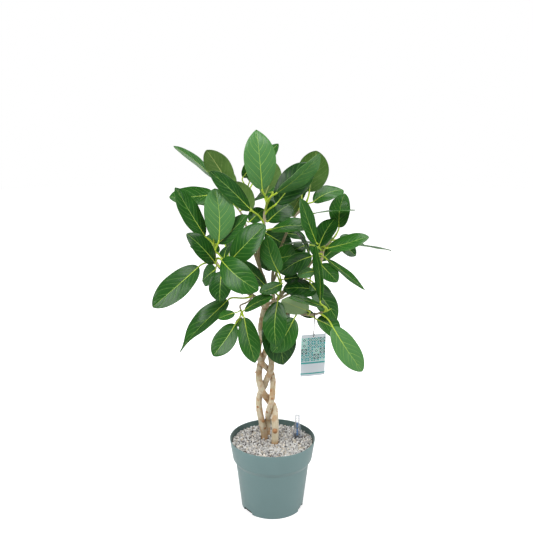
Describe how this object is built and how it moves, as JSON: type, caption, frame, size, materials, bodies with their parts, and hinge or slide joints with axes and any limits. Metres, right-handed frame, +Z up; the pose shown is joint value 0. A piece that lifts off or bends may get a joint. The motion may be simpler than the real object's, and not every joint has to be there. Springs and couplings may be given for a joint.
{
  "type": "potted ficus audrey",
  "caption": "Potted ficus with a braided trunk and broad oval leaves, in a tapered nursery pot with pumice, a water gauge and a hang tag.",
  "frame": {"origin": "centre of the pot's flat underside, on the surface that the plant stands on", "axes": "+Z up the trunk, -Y towards the pictured front, +X to the right in the picture"},
  "size_m": [0.6298, 0.4905, 1.0543],
  "materials": {
    "pot": "satin grey-green moulded plastic",
    "substrate": "dry pumice grains; wood stands in for its bulk density",
    "bark": "smooth beige bark with brown scars",
    "leaf": "satin green leaf with pale veins",
    "clear": "clear plastic",
    "blue": "blue plastic",
    "black": "dark plastic",
    "card": "printed card"
  },
  "bodies": {
    "plant": {"pot": "pot", "substrate": "substrate", "stem_a": "bark", "stem_b": "bark", "stem_c": "bark", "shoot_crown": "leaf", "shoot_left": "leaf", "shoot_right": "leaf", "shoot_lower_right": "leaf", "shoot_lower_centre": "leaf", "shoot_lower_left": "leaf", "shoot_upper_left": "leaf", "shoot_upper_right": "leaf", "shoot_mid_rear": "leaf", "shoot_top_rear": "leaf", "shoot_right_rear": "leaf", "shoot_rear_left": "leaf", "shoot_rear_right": "leaf", "shoot_rear_low": "leaf", "gauge_sleeve": "black", "gauge_tube": "clear", "tag_card": "card", "tag_tie": "black"},
    "float": {"gauge_float": "blue"}
  },
  "joints": [
    {"name": "float_slide", "type": "slide", "parent": "plant", "child": "float", "axis": [0, 0, 1], "range_m": [0, 0.015]}
  ]
}
